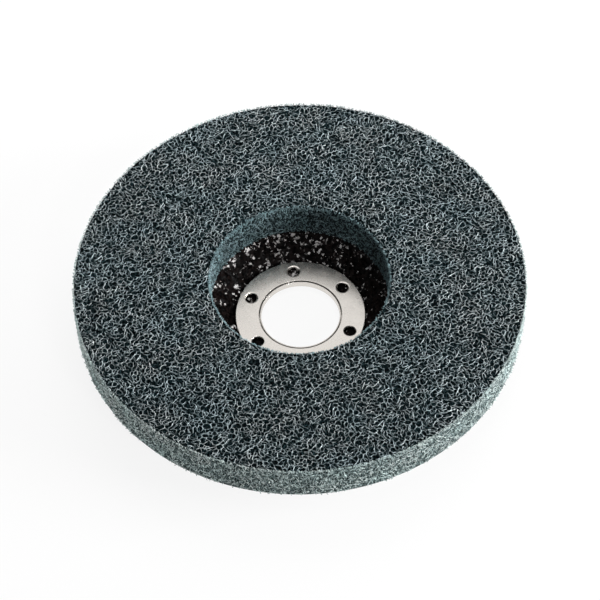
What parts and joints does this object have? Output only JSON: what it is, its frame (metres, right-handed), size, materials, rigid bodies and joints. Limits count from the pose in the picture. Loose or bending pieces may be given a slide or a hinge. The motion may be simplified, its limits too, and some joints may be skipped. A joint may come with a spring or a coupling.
{
  "type": "non-woven polishing disc",
  "caption": "Thick ring of open abrasive fibre web on a depressed-centre glass-cloth backing plate, with punched steel rings round its bore, for an angle grinder.",
  "frame": {"origin": "on the disc's axis, at the back of the rear ring, the plane that the disc stands on", "axes": "+Z along the disc's axis towards the working face; the front ring's eyelets start 36.4 degrees from +X"},
  "size_m": [0.125, 0.125, 0.0199],
  "materials": {
    "web": "open web of curly fibres, dull, dark pores",
    "resin_cloth": "black resin over woven glass, uneven gloss",
    "ring_steel": "satin"
  },
  "bodies": {
    "root": {"web_pad": "web", "backing_plate": "resin_cloth", "front_ring": "ring_steel", "rear_ring": "ring_steel"}
  },
  "joints": []
}
